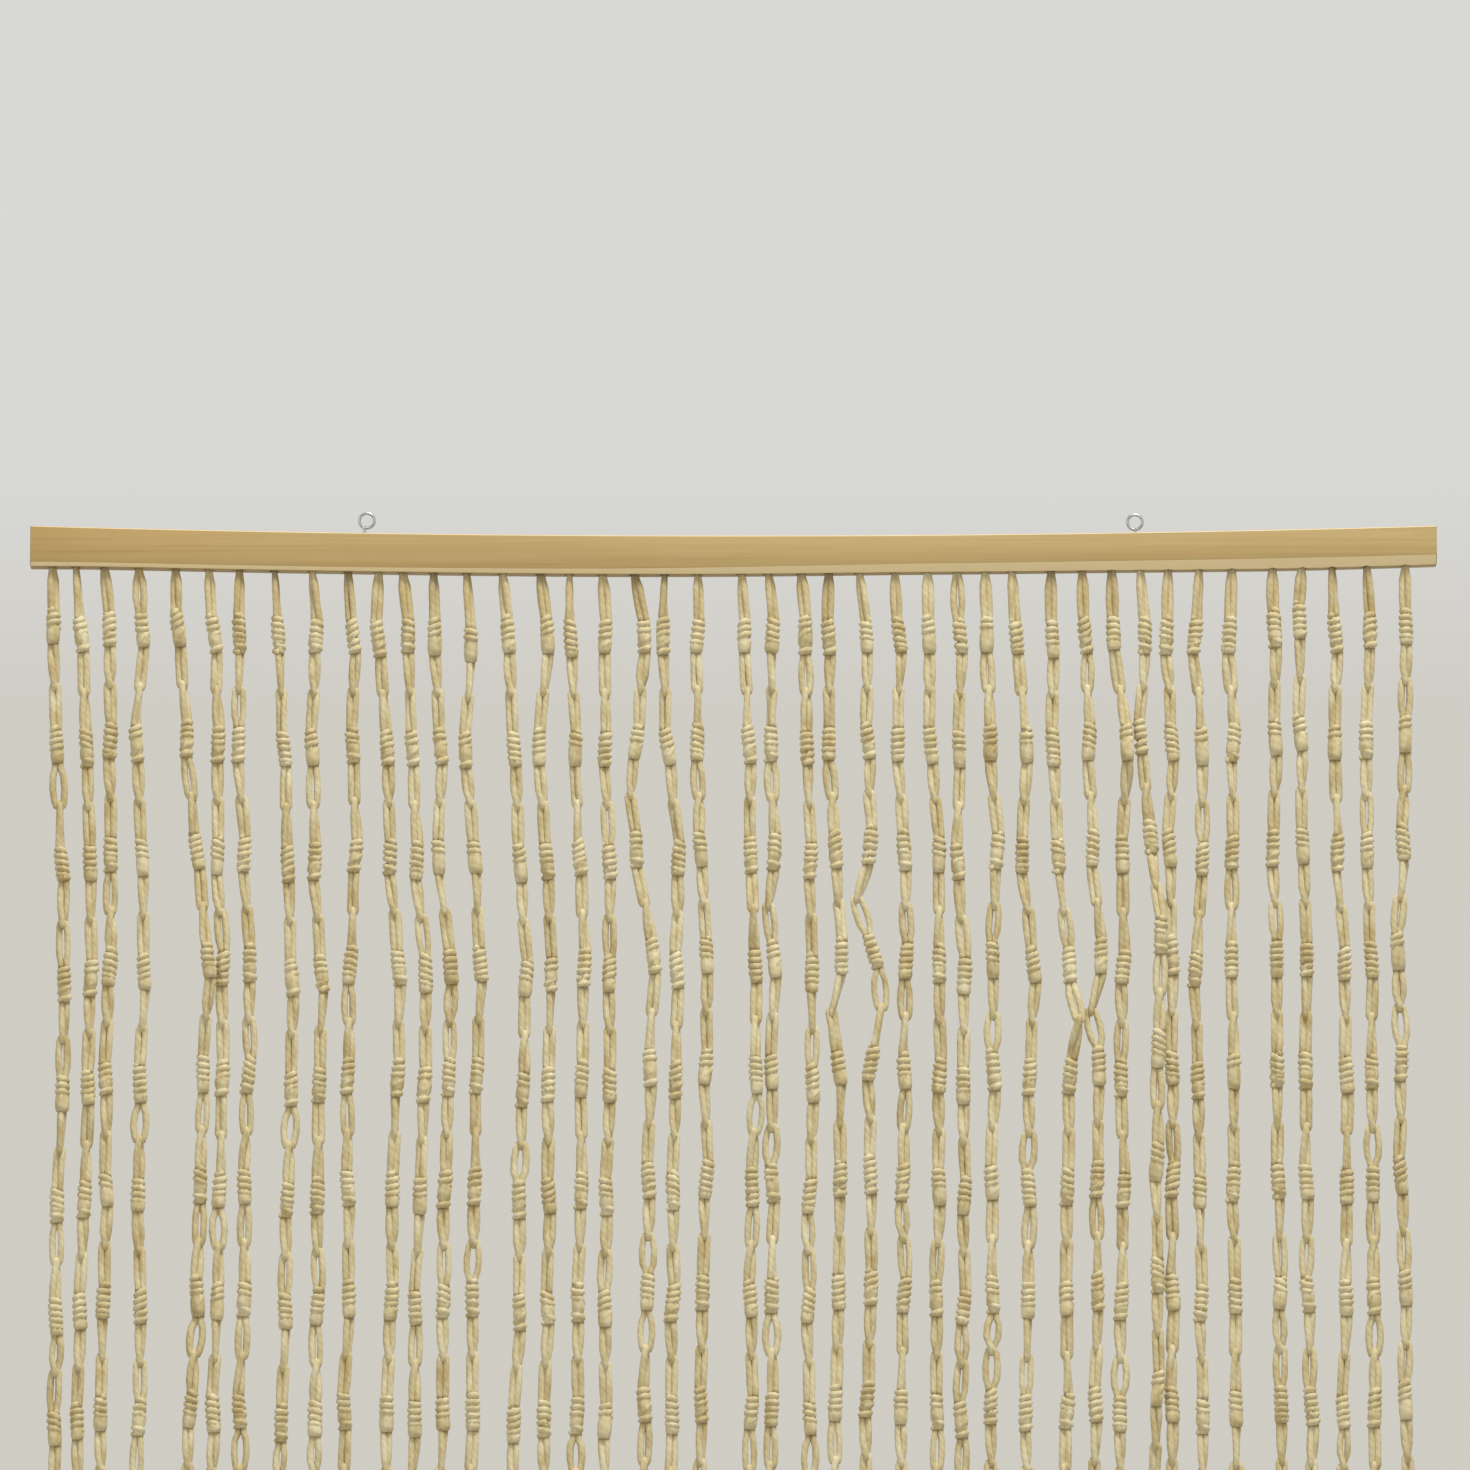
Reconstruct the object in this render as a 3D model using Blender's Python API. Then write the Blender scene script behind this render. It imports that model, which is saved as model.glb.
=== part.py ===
"""Door curtain: strands of looped and knotted cord hang from a wooden batten with two screw eyes.

Metres, +Z up, +X to the viewer's right, +Y towards the wall or door frame behind the curtain.
The origin is the middle of the batten's back face.
"""
import math
import random
from bisect import bisect_right
from collections import namedtuple

import bmesh
import bpy

MM = 0.001
GAP = 0.0003

# Batten: a lath that is bowed in its own plane, so that its ends stand higher than its middle
BATTEN_LENGTH = 0.900
BATTEN_DEPTH = 0.014
MIDDLE_HEIGHT = 0.0244
BOW = 0.0065
BATTEN_STEPS = 24
EDGE_DEPTH_RATIO = 0.75

# Sections along the batten, in millimetres: how tall it is and how high its planed-off front edge reaches
Section = namedtuple("Section", "place height edge")
SECTIONS = (
    Section(-450, 26.0, 2.5),
    Section(-405, 25.0, 2.3),
    Section(-235, 24.7, 2.3),
    Section(-85, 24.8, 2.9),
    Section(0, 24.4, 3.9),
    Section(105, 23.6, 4.8),
    Section(235, 23.7, 5.3),
    Section(360, 24.8, 6.0),
    Section(450, 24.5, 5.7),
)

# Screw eyes: a wire ring on a shank that is screwed into the batten's top
EYE_PLACES = {"eye_left": -0.2348, "eye_right": 0.2571}
EYE_RISE = {"eye_left": 0.0092, "eye_right": 0.0079}
EYE_SHANK_SHIFT = {"eye_left": -0.0016, "eye_right": 0.0002}
EYE_RING_RADIUS = 0.0048
EYE_WIRE_RADIUS = 0.00095
EYE_SHANK_DEPTH = 0.012
EYE_RING_STEPS = 20
EYE_WIRE_SIDES = 8
EYE_SHANK_RATIO = 0.92
HOLE_SIDES = 12

# Root strip: it lies in a groove in the underside and carries the strands
CORD_LINE = -0.007
STRIP_WIDTH = 0.0044
STRIP_HEIGHT = 0.0030
STRIP_RECESS = 0.0012
STRIP_OVERHANG = 0.006
GROOVE_OVERCUT = 0.002
ROOT_HALF_WIDTH = 0.0018

# Strands: three-sided chains that are wide at each knot and narrow where one link loops through the next
LINKS = 27
SEEN_KNOTS = 4
LAST_KNOT = -1.910
UNEVEN_HEM = 0.004
KNOT_HALF_LENGTH = 0.013
KNOT_RADIUS = 0.0052
JOIN_RADIUS = 0.0034
MOUTH_DROP = 0.003
MOUTH_RADIUS = 0.0023
TAIL_DROP = 0.016
TAIL_RADIUS = 0.0034
END_DROP = 0.038
END_RADIUS = 0.0022
SETTLED_LEAN = 0.5
SETTLING_LINKS = 5
WANDER = 0.0015
SIDE_CLEARANCE = 0.0115

# One row for each strand, in millimetres: its root along the batten, how far its first knot hangs below the
# batten, the distance from knot to knot, and how far knots one to four stand to the right of the root
Strand = namedtuple("Strand", "root first pitch lean_1 lean_2 lean_3 lean_4")
STRANDS = [Strand(*row) for row in (
    (-436, 39, 77, 1, 4, 8, 10),
    (-421, 44, 74, 4, 8, 11, 12),
    (-403, 40, 73, 4, 5, 6, 6),
    (-381, 40, 74, 3, 0, 4, 6),
    (-357, 39, 72, 2, 8, 15, 23),
    (-336, 42, 72, 4, 7, 7, 11),
    (-316, 42, 71, 0, 0, 4, 8),
    (-294, 42, 74, 3, 7, 10, 13),
    (-270, 42, 73, 3, 1, 3, 8),
    (-247, 42, 71, 4, 4, 6, 3),
    (-227, 43, 71, 0, 6, 8, 14),
    (-212, 41, 73, 4, 7, 10, 16),
    (-192, 42, 71, 1, 5, 4, 12),
    (-171, 46, 69, 3, 0, 6, 10),
    (-148, 40, 74, 4, 8, 12, 16),
    (-124, 40, 73, 5, 0, 5, 8),
    (-105, 42, 71, 1, 4, 7, 10),
    (-84, 40, 73, 2, 2, 5, 5),
    (-64, 40, 69, 7, 2, 2, 13),
    (-44, 40, 72, -1, 2, 9, 8),
    (-23, 40, 69, 0, 0, 2, 6),
    (5, 40, 71, 2, 5, 6, 9),
    (22, 40, 70, 3, 2, 4, 4),
    (43, 40, 73, 3, 4, 6, 7),
    (61, 41, 69, 0, 0, 4, 8),
    (80, 41, 68, 5, 6, 7, 9),
    (103, 41, 70, 3, 2, 6, 7),
    (124, 41, 71, 1, 2, 7, 7),
    (143, 42, 73, 2, 1, 0, 4),
    (161, 41, 70, 1, 3, 7, 4),
    (178, 42, 71, 3, 9, 6, 13),
    (203, 45, 70, 1, 1, 4, 11),
    (223, 42, 69, 2, 4, 6, 11),
    (242, 41, 72, 1, 9, 6, 6),
    (260, 43, 65, 3, 0, 6, 12),
    (278, 43, 69, -1, 2, 0, 1),
    (298, 43, 72, -3, 1, 1, -4),
    (319, 43, 70, -2, 0, -1, -2),
    (345, 39, 71, 1, 1, -1, 1),
    (364, 34, 73, -2, -2, -1, 1),
    (383, 43, 71, 2, 1, 2, 6),
    (405, 42, 71, 2, -1, -1, 1),
    (430, 40, 70, 0, -1, -3, -7),
)]
SIDES = {"strands_left": STRANDS[:22], "strands_right": STRANDS[22:]}

# Joins that stand aside from the line between their knots: the strand's number from the left and the join's
# number from the top, and how far the join stands to the right, in millimetres
KINKS = {
    (19, 2): -4.0,
    (23, 3): -4.0,
    (25, 4): -6.0,
    (26, 3): -10.0,
    (26, 4): 6.0,
    (32, 4): 6.0,
    (33, 4): -6.0,
}

Ring = namedtuple("Ring", "x y z radius")


def clear_scene():
    for item in list(bpy.data.objects):
        bpy.data.objects.remove(item, do_unlink=True)


def material(name, color, roughness, metallic=0.0):
    made = bpy.data.materials.new(name)
    made.use_nodes = True
    shader = made.node_tree.nodes["Principled BSDF"]
    shader.inputs["Base Color"].default_value = (*color, 1.0)
    shader.inputs["Roughness"].default_value = roughness
    shader.inputs["Metallic"].default_value = metallic
    return made


def object_from(name, shape, finish=None):
    """Points the shape's faces outward and makes it a named object."""
    bmesh.ops.recalc_face_normals(shape, faces=shape.faces)
    mesh = bpy.data.meshes.new(name)
    shape.to_mesh(mesh)
    shape.free()
    made = bpy.data.objects.new(name, mesh)
    bpy.context.collection.objects.link(made)
    if finish is not None:
        mesh.materials.append(finish)
    return made


def between(low, high, part):
    return low + (high - low) * part


def section_value(x, column):
    """One column of the batten's section table at a place along it, in metres."""
    place = x / MM
    places = [row.place for row in SECTIONS]
    right = min(max(bisect_right(places, place), 1), len(SECTIONS) - 1)
    low = SECTIONS[right - 1]
    high = SECTIONS[right]
    part = (place - low.place) / (high.place - low.place)
    return between(getattr(low, column), getattr(high, column), part) * MM


def batten_top(x):
    return MIDDLE_HEIGHT / 2 + BOW * (x / (BATTEN_LENGTH / 2)) ** 2


def batten_underside(x):
    return batten_top(x) - section_value(x, "height")


def batten_section(x):
    """The batten's outline in Y and Z at one place along it, with its planed-off lower front edge."""
    top = batten_top(x)
    bottom = batten_underside(x)
    edge = section_value(x, "edge")
    front = -BATTEN_DEPTH
    return [
        (0.0, top),
        (0.0, bottom),
        (front + edge * EDGE_DEPTH_RATIO, bottom),
        (front, bottom + edge),
        (front, top),
    ]


def groove_section(x):
    """The groove's outline, which reaches below the underside so that it cuts through it."""
    bottom = batten_underside(x)
    back = CORD_LINE + STRIP_WIDTH / 2 + GAP
    front = CORD_LINE - STRIP_WIDTH / 2 - GAP
    roof = bottom + STRIP_RECESS + STRIP_HEIGHT + GAP
    floor = bottom - GROOVE_OVERCUT
    return [(back, roof), (back, floor), (front, floor), (front, roof)]


def sweep(start, end, steps, section):
    """A closed bar whose outline follows the section function from start to end along X."""
    shape = bmesh.new()
    loops = []
    for step in range(steps + 1):
        x = between(start, end, step / steps)
        loops.append([shape.verts.new((x, y, z)) for y, z in section(x)])
    sides = len(loops[0])
    for near, far in zip(loops, loops[1:]):
        for side in range(sides):
            after = (side + 1) % sides
            shape.faces.new((near[side], near[after], far[after], far[side]))
    shape.faces.new(loops[0])
    shape.faces.new(loops[-1])
    bmesh.ops.triangulate(shape, faces=shape.faces)
    return shape


def cut(target, cutter):
    """Cuts one shape out of another, and keeps the cutter as a hidden guide."""
    cutter.hide_render = True
    cutter.display_type = "WIRE"
    modifier = target.modifiers.new(cutter.name, "BOOLEAN")
    modifier.operation = "DIFFERENCE"
    modifier.solver = "EXACT"
    modifier.object = cutter


def build_batten(finish):
    half = BATTEN_LENGTH / 2
    batten = object_from("batten", sweep(-half, half, BATTEN_STEPS, batten_section), finish)
    groove_start = STRANDS[0].root * MM - STRIP_OVERHANG - GAP
    groove_end = STRANDS[-1].root * MM + STRIP_OVERHANG + GAP
    groove = object_from("groove_cutter", sweep(groove_start, groove_end, BATTEN_STEPS, groove_section))
    cut(batten, groove)
    for name, place in EYE_PLACES.items():
        hole_depth = EYE_SHANK_DEPTH + 2 * GAP
        hole = bmesh.new()
        bmesh.ops.create_cone(
            hole, cap_ends=True, segments=HOLE_SIDES, depth=2 * hole_depth,
            radius1=EYE_WIRE_RADIUS + GAP, radius2=EYE_WIRE_RADIUS + GAP,
        )
        cutter = object_from(name + "_hole_cutter", hole)
        shank_place = place + EYE_SHANK_SHIFT[name]
        cutter.location = (shank_place, CORD_LINE, batten_top(shank_place))
        cut(batten, cutter)


def build_eye(name, finish):
    """A wire ring, facing front, joined to a straight shank; its origin is the middle of the ring."""
    bpy.ops.mesh.primitive_torus_add(
        major_radius=EYE_RING_RADIUS, minor_radius=EYE_WIRE_RADIUS,
        major_segments=EYE_RING_STEPS, minor_segments=EYE_WIRE_SIDES,
    )
    eye = bpy.context.object
    eye.name = name
    eye.data.name = name
    eye.data.transform(((1, 0, 0, 0), (0, 0, -1, 0), (0, 1, 0, 0), (0, 0, 0, 1)))
    shank_length = EYE_RISE[name] - EYE_RING_RADIUS + EYE_SHANK_DEPTH
    shank = bmesh.new()
    bmesh.ops.create_cone(
        shank, cap_ends=True, segments=EYE_WIRE_SIDES, depth=shank_length,
        radius1=EYE_WIRE_RADIUS * EYE_SHANK_RATIO, radius2=EYE_WIRE_RADIUS * EYE_SHANK_RATIO,
    )
    middle = (EYE_SHANK_SHIFT[name], 0, -EYE_RING_RADIUS - shank_length / 2)
    bmesh.ops.translate(shank, verts=shank.verts, vec=middle)
    guide = object_from(name + "_shank_guide", shank)
    guide.hide_render = True
    guide.display_type = "WIRE"
    join = eye.modifiers.new("shank", "BOOLEAN")
    join.operation = "UNION"
    join.solver = "EXACT"
    join.object = guide
    place = (EYE_PLACES[name], CORD_LINE, batten_top(EYE_PLACES[name]) + EYE_RISE[name])
    eye.location = place
    guide.location = place
    eye.data.materials.append(finish)
    eye.data.shade_smooth()


def knot_places(strand, chance):
    """Height and sideways place of each knot: as photographed at the top, then settling to hang plumb."""
    leans = [strand.lean_1, strand.lean_2, strand.lean_3, strand.lean_4]
    top = batten_underside(strand.root * MM) - strand.first * MM
    last_seen = top - (SEEN_KNOTS - 1) * strand.pitch * MM
    last = LAST_KNOT + chance.uniform(-UNEVEN_HEM, UNEVEN_HEM)
    places = []
    for knot in range(LINKS):
        if knot < SEEN_KNOTS:
            height = top - knot * strand.pitch * MM
            lean = leans[knot] * MM
        else:
            below = knot - SEEN_KNOTS + 1
            height = between(last_seen, last, below / (LINKS - SEEN_KNOTS))
            settled = min(below / SETTLING_LINKS, 1.0)
            lean = leans[-1] * MM * between(1.0, SETTLED_LEAN, settled) + chance.uniform(-WANDER, WANDER)
        places.append((strand.root * MM + lean, height))
    return places


def hanging_line(number, places):
    """A strand's knots and, between them, its joins, from top to bottom."""
    line = []
    for knot, ((x, z), (x_below, z_below)) in enumerate(zip(places, places[1:]), start=1):
        aside = KINKS.get((number, knot), 0.0) * MM
        line.append((x, z))
        line.append(((x + x_below) / 2 + aside, (z + z_below) / 2))
    line.append(places[-1])
    return line


def sideways_at(line, height):
    """Where a strand stands sideways at a height."""
    if height >= line[0][1]:
        return line[0][0]
    for (x_above, z_above), (x_below, z_below) in zip(line, line[1:]):
        if height >= z_below:
            return between(x_above, x_below, (z_above - height) / (z_above - z_below))
    return line[-1][0]


def forward_step(line, neighbour, height):
    """How far a strand hangs in front of the one to its right, where the two come close."""
    if neighbour is None:
        return 0.0
    apart = sideways_at(neighbour, height) - sideways_at(line, height)
    return math.sqrt(max(SIDE_CLEARANCE ** 2 - apart ** 2, 0.0))


def strand_rings(strand, line, neighbour):
    """The rings of one strand from its mouth under the batten to its tail."""
    under = batten_underside(strand.root * MM)
    levels = [(strand.root * MM, under - MOUTH_DROP, MOUTH_RADIUS)]
    for step, (x, z) in enumerate(line):
        knot, is_join = divmod(step, 2)
        if is_join:
            levels.append((x, z, JOIN_RADIUS))
        elif knot < SEEN_KNOTS:
            levels.append((x, z + KNOT_HALF_LENGTH, KNOT_RADIUS))
            levels.append((x, z - KNOT_HALF_LENGTH, KNOT_RADIUS))
        else:
            levels.append((x, z, KNOT_RADIUS))
    x, z = line[-1]
    levels.append((x, z - TAIL_DROP, TAIL_RADIUS))
    levels.append((x, z - END_DROP, END_RADIUS))
    rings = []
    for x, z, radius in levels:
        rings.append(Ring(x, CORD_LINE - forward_step(line, neighbour, z), z, radius))
    return rings


def ring_corners(shape, ring):
    """Three corners: front, back right and back left."""
    back = ring.radius / 2
    side = ring.radius * math.sqrt(3) / 2
    return [
        shape.verts.new((ring.x, ring.y - ring.radius, ring.z)),
        shape.verts.new((ring.x + side, ring.y + back, ring.z)),
        shape.verts.new((ring.x - side, ring.y + back, ring.z)),
    ]


def add_strand(shape, root_corners, rings):
    """Runs a three-sided tube from its corners in the strip down through the rings, and closes its end."""
    above = root_corners
    for ring in rings:
        below = ring_corners(shape, ring)
        for side in range(3):
            after = (side + 1) % 3
            shape.faces.new((above[side], above[after], below[after], below[side]))
        above = below
    shape.faces.new(above)


def strip_limits(x):
    """The strip's front, back, low and high sides at a place along the batten."""
    low = batten_underside(x) + STRIP_RECESS
    return CORD_LINE - STRIP_WIDTH / 2, CORD_LINE + STRIP_WIDTH / 2, low, low + STRIP_HEIGHT


def strip_end(shape, x):
    """The strip's corners at its end: bottom front, bottom back, top back and top front."""
    front, back, low, high = strip_limits(x)
    corners = ((x, front, low), (x, back, low), (x, back, high), (x, front, high))
    return [shape.verts.new(corner) for corner in corners]


def root_station(shape, x):
    """The strip's corners at a strand: the root's front, back right and back left, then those above them."""
    front, back, low, high = strip_limits(x)
    corners = []
    for z in (low, high):
        corners.append(shape.verts.new((x, front, z)))
        corners.append(shape.verts.new((x + ROOT_HALF_WIDTH, back, z)))
        corners.append(shape.verts.new((x - ROOT_HALF_WIDTH, back, z)))
    return corners


def add_strip_span(shape, left, right):
    """Four walls of the strip between two columns of bottom front, bottom back, top back and top front."""
    for side in range(4):
        after = (side + 1) % 4
        shape.faces.new((left[side], left[after], right[after], right[side]))


def build_strands(name, strands, routes, finish):
    """One root strip with its strands fused to it."""
    shape = bmesh.new()
    left = strip_end(shape, strands[0].root * MM - STRIP_OVERHANG)
    shape.faces.new(left)
    for strand in strands:
        front, back_right, back_left, high_front, high_right, high_left = root_station(shape, strand.root * MM)
        add_strip_span(shape, left, [front, back_left, high_left, high_front])
        shape.faces.new((back_left, back_right, high_right, high_left))
        shape.faces.new((high_front, high_right, high_left))
        add_strand(shape, [front, back_right, back_left], routes[strand])
        left = [front, back_right, high_right, high_front]
    right = strip_end(shape, strands[-1].root * MM + STRIP_OVERHANG)
    add_strip_span(shape, left, right)
    shape.faces.new(right)
    bmesh.ops.triangulate(shape, faces=shape.faces)
    object_from(name, shape, finish)


def build_curtain():
    clear_scene()
    wood = material("planed_pine", (0.50, 0.36, 0.16), 0.55)
    zinc = material("zinc", (0.55, 0.56, 0.57), 0.35, 1.0)
    cord = material("natural_cord", (0.48, 0.37, 0.19), 0.85)
    build_batten(wood)
    for name in EYE_PLACES:
        build_eye(name, zinc)
    chance = random.Random(43)
    lines = []
    for number, strand in enumerate(STRANDS, start=1):
        lines.append(hanging_line(number, knot_places(strand, chance)))
    routes = {}
    for strand, line, neighbour in zip(STRANDS, lines, lines[1:] + [None]):
        routes[strand] = strand_rings(strand, line, neighbour)
    for name, strands in SIDES.items():
        build_strands(name, strands, routes, cord)


build_curtain()
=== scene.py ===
"""Looks of the door curtain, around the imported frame.

Knotted cord strands, a planed batten and two screw eyes.
Metres, +Z up, +X to the viewer's right, +Y towards the wall or door frame behind the curtain.
"""

import math
import random
from bisect import bisect_right
from collections import namedtuple

import bmesh
import bpy
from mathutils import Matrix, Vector


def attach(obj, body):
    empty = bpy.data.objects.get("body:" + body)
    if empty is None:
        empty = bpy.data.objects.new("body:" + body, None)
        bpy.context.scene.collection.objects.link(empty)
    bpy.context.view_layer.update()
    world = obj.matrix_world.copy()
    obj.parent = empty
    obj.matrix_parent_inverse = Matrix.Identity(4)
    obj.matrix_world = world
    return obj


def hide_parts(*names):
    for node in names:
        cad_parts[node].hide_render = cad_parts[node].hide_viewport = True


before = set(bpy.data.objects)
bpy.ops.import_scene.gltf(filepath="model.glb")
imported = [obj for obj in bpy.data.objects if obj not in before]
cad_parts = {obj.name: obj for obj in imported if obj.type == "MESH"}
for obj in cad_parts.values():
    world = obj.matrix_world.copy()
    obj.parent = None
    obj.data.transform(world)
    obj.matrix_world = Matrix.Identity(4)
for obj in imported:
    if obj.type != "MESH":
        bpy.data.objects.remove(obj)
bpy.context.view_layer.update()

MM = 0.001
TURN = 2 * math.pi

# Camera: it stands low in front of the curtain and looks up at the batten; its sensor is in millimetres
PHOTO_PIXELS = 1470
PIXEL = 0.000638
CAMERA_DISTANCE = 8.0
CAMERA_RISE = math.radians(10.0)
CAMERA_SENSOR = 36.0
FRAME_MIDDLE = Vector((0.00096, -0.014, -0.1174))

# Lamps and floor
Lamp = namedtuple("Lamp", "name place energy size")
LAMPS = (
    Lamp("key", (1.0, -2.2, 4.6), 240.0, 1.2),
    Lamp("fill", (-2.2, -3.4, 0.4), 10.0, 2.0),
)
LAMPS_AIM = Vector((0, 0, -0.35))
FLOOR_SIZE = 26.0
FLOOR_HEIGHT = -1.985

# Surroundings, from low to high: a floor, a pale wall that is warmer and darker up to the batten, as
# painted shade that the batten and strands cast on it, a cooler wall above it and a ceiling
SKY_HEIGHTS = (-0.2, 0.8)
SKY = (
    (0.00, (0.50, 0.50, 0.49)),
    (0.20, (0.625, 0.606, 0.552)),
    (0.375, (0.625, 0.606, 0.552)),
    (0.395, (0.69, 0.69, 0.675)),
    (0.60, (0.69, 0.69, 0.675)),
    (0.85, (0.42, 0.42, 0.42)),
)

# Batten, as in the frame
BATTEN_LENGTH = 0.900
BATTEN_DEPTH = 0.014
MIDDLE_HEIGHT = 0.0244
BOW = 0.0065
BATTEN_STEPS = 24
FIRST_EDGE = 0.003
EDGE_DEPTH_RATIO = 0.75
EDGE_ROUNDING = 0.0006
ROUNDED_ANGLE = math.radians(30)
SMOOTH_ANGLE = math.radians(32)
SAME_PLACE = 1e-5
# Painted light on the batten's edges: a pale tint on the planed-off lower edge, paler planed wood
# brightened as if lit though it faces down, and a painted highlight on the rounding along the top edge
PAINTED_LIGHT_TINT = (1.0, 0.80, 0.44)
PAINTED_LIGHT_SHARE = 0.9

# Holes: one for each cord in the underside, and one for each eye's shank in the top
CORD_LINE = -0.007
CORD_HOLE_RADIUS = 0.0031
CORD_HOLE_DEPTH = 0.010
CORD_HOLE_SIDES = 16
EYE_HOLE_PLAY = 1.15
EYE_HOLE_SPARE = 0.001
EYE_HOLE_SIDES = 12

# Sections along the batten, in millimetres: how tall it is and how high its planed-off front edge reaches
Section = namedtuple("Section", "place height edge")
SECTIONS = (
    Section(-450, 26.0, 2.5),
    Section(-405, 25.0, 2.3),
    Section(-235, 24.7, 2.3),
    Section(-85, 24.8, 2.9),
    Section(0, 24.4, 3.9),
    Section(105, 23.6, 4.8),
    Section(235, 23.7, 5.3),
    Section(360, 24.8, 6.0),
    Section(450, 24.5, 5.7),
)

# Screw eyes: the wire leaves the shank at the ring's foot and sweeps almost all the way round, in degrees
EYE_PLACES = {"eye_left": -0.2348, "eye_right": 0.2571}
EYE_RISE = {"eye_left": 0.0092, "eye_right": 0.0079}
EYE_RING_RADIUS = 0.0048
EYE_RING_FOOT = 100
EYE_RING_SWEEP = 350
EYE_RING_STEPS = 28
EYE_WIRE_RADIUS = 0.00095
EYE_SHANK_DEPTH = 0.012
EYE_SHANK_SHIFT = {"eye_left": -0.0016, "eye_right": 0.0002}
THREAD_FROM = 0.002
THREAD_PITCH = 0.0009
THREAD_SHARE = 0.3
THREAD_SEAT = 0.92
THREAD_STEPS = 8
WIRE_ROUNDING = 3

# Strands: heights and places of their knots, as in the frame
LINKS = 27
SEEN_KNOTS = 4
LAST_KNOT = -1.910
UNEVEN_HEM = 0.004
SETTLED_LEAN = 0.5
SETTLING_LINKS = 5
WANDER = 0.0015
SIDE_CLEARANCE = 0.0115
ROOT_HEIGHT = 0.004
END_DROP = 0.038

# One row for each strand, in millimetres: its root along the batten, how far its first knot hangs below the
# batten, the distance from knot to knot, and how far knots one to four stand to the right of the root
Strand = namedtuple("Strand", "root first pitch lean_1 lean_2 lean_3 lean_4")
STRANDS = [Strand(*row) for row in (
    (-436, 39, 77, 1, 4, 8, 10),
    (-421, 44, 74, 4, 8, 11, 12),
    (-403, 40, 73, 4, 5, 6, 6),
    (-381, 40, 74, 3, 0, 4, 6),
    (-357, 39, 72, 2, 8, 15, 23),
    (-336, 42, 72, 4, 7, 7, 11),
    (-316, 42, 71, 0, 0, 4, 8),
    (-294, 42, 74, 3, 7, 10, 13),
    (-270, 42, 73, 3, 1, 3, 8),
    (-247, 42, 71, 4, 4, 6, 3),
    (-227, 43, 71, 0, 6, 8, 14),
    (-212, 41, 73, 4, 7, 10, 16),
    (-192, 42, 71, 1, 5, 4, 12),
    (-171, 46, 69, 3, 0, 6, 10),
    (-148, 40, 74, 4, 8, 12, 16),
    (-124, 40, 73, 5, 0, 5, 8),
    (-105, 42, 71, 1, 4, 7, 10),
    (-84, 40, 73, 2, 2, 5, 5),
    (-64, 40, 69, 7, 2, 2, 13),
    (-44, 40, 72, -1, 2, 9, 8),
    (-23, 40, 69, 0, 0, 2, 6),
    (5, 40, 71, 2, 5, 6, 9),
    (22, 40, 70, 3, 2, 4, 4),
    (43, 40, 73, 3, 4, 6, 7),
    (61, 41, 69, 0, 0, 4, 8),
    (80, 41, 68, 5, 6, 7, 9),
    (103, 41, 70, 3, 2, 6, 7),
    (124, 41, 71, 1, 2, 7, 7),
    (143, 42, 73, 2, 1, 0, 4),
    (161, 41, 70, 1, 3, 7, 4),
    (178, 42, 71, 3, 9, 6, 13),
    (203, 45, 70, 1, 1, 4, 11),
    (223, 42, 69, 2, 4, 6, 11),
    (242, 41, 72, 1, 9, 6, 6),
    (260, 43, 65, 3, 0, 6, 12),
    (278, 43, 69, -1, 2, 0, 1),
    (298, 43, 72, -3, 1, 1, -4),
    (319, 43, 70, -2, 0, -1, -2),
    (345, 39, 71, 1, 1, -1, 1),
    (364, 34, 73, -2, -2, -1, 1),
    (383, 43, 71, 2, 1, 2, 6),
    (405, 42, 71, 2, -1, -1, 1),
    (430, 40, 70, 0, -1, -3, -7),
)]
STRANDS_ON_LEFT = 22

# Joins that stand aside from the line between their knots: the strand's number from the left and the join's
# number from the top, and how far the join stands to the right, in millimetres
KINKS = {
    (19, 2): -4.0,
    (23, 3): -4.0,
    (25, 4): -6.0,
    (26, 3): -10.0,
    (26, 4): 6.0,
    (32, 4): 6.0,
    (33, 4): -6.0,
}

# How the loops above and below each strand's first four knots are seen in the photograph, from top to
# bottom: n narrow, since seen edge-on, s slim, c closed, o open, w wide
SEEN_LOOPS = (
    "cccwncos", "ncsccscs", "cccccocc", "ocnccscn", "ccsoscsc", "ccscccoc", "snoscscc", "nnscsssc",
    "sccosssn", "ccccssno", "ccsccccs", "csscssoc", "sscssnco", "sncccncn", "sccccccc", "cscccccn",
    "nsssncss", "ccssosoc", "ccccccsc", "nscssccc", "ccnocccc", "scncccsc", "snnossos", "cocscssn",
    "cssocssn", "sccccsww", "cssscsoo", "ccccccsc", "osccssos", "cosscsos", "scnccccc", "cccscnoo",
    "coscscss", "ccscccsc", "ssccssco", "cccccscs", "ssnsocss", "cosscosc", "ccccccoc", "cscccccs",
    "scccnncc", "ssccoccc", "ccoocnoo",
)
UNSEEN_LOOPS = "nssscccccccoow"
FROM_NARROW_TO_WIDE = "nscow"

# Each form's half width in metres, the least and most that its legs turn out of the viewer's plane at the
# loop's middle, in degrees, and how much of that turn they may have at the knot
Form = namedtuple("Form", "half_width turns at_knot")
FORMS = {
    "n": Form(0.00175, (74, 86), (0.6, 0.8)),
    "s": Form(0.00180, (36, 56), (-0.2, 0.8)),
    "c": Form(0.00192, (4, 34), (-1.0, 1.0)),
    "o": Form(0.00270, (2, 10), (0.0, 0.6)),
    "w": Form(0.00380, (0, 4), (0.0, 0.6)),
}

# How loops stray from their form, and the turn at its bend above which a loop hangs crosswise, in radians
WIDTH_SHARES = (0.97, 1.06)
FACING_STRAY = 0.15
CROSSWISE_FROM = 0.3
LEG_STRAY = 0.00022
STRAY_FROM = 0.004

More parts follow.
